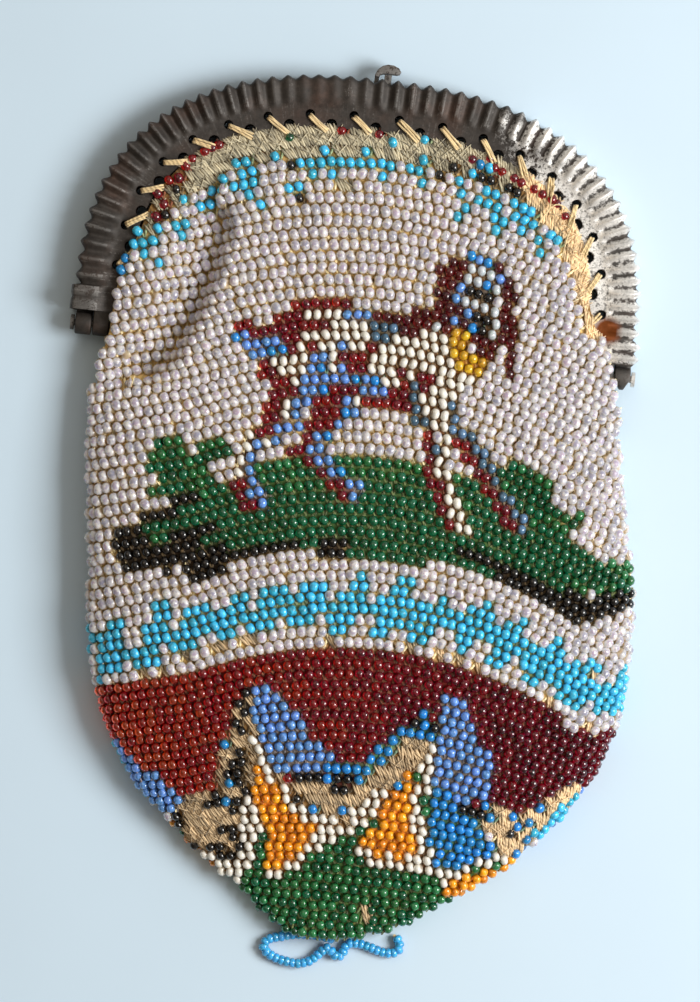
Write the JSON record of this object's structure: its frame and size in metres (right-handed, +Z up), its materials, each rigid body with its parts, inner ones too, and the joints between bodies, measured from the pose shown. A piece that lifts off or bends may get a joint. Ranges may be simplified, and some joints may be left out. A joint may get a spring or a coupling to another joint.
{
  "type": "reticule",
  "caption": "Small bead-knitted purse with a rounded foot, sewn into a hinged, arched and fluted metal frame with a snap clasp.",
  "frame": {"origin": "on the table under the middle of the purse lying on its back, tassel left out", "axes": "+X along the hinge to the right, +Y from the foot towards the clasp, +Z up out of the front"},
  "size_m": [0.0996, 0.1527, 0.0133],
  "materials": {
    "tarnished_metal": "tarnished",
    "linen_thread": "matte",
    "bead_knit": "satin",
    "turquoise_beads": "gloss"
  },
  "bodies": {
    "back": {"back_frame": "tarnished_metal", "left_hinge_pin": "tarnished_metal", "right_hinge_pin": "tarnished_metal", "clasp_hook": "tarnished_metal", "back_lacing": "linen_thread", "bag_pouch": "bead_knit", "bead_tassel": "turquoise_beads"},
    "front": {"front_frame": "tarnished_metal", "clasp_post": "tarnished_metal", "front_lacing": "linen_thread", "bag_front_panel": "bead_knit"}
  },
  "joints": [
    {"name": "frame_hinge", "type": "hinge", "parent": "back", "child": "front", "pos_m": [-0.00208, 0.02462, 0.0032], "axis": [1, 0, 0], "range_deg": [0, 90], "deforming": ["bag_front_panel"]}
  ]
}
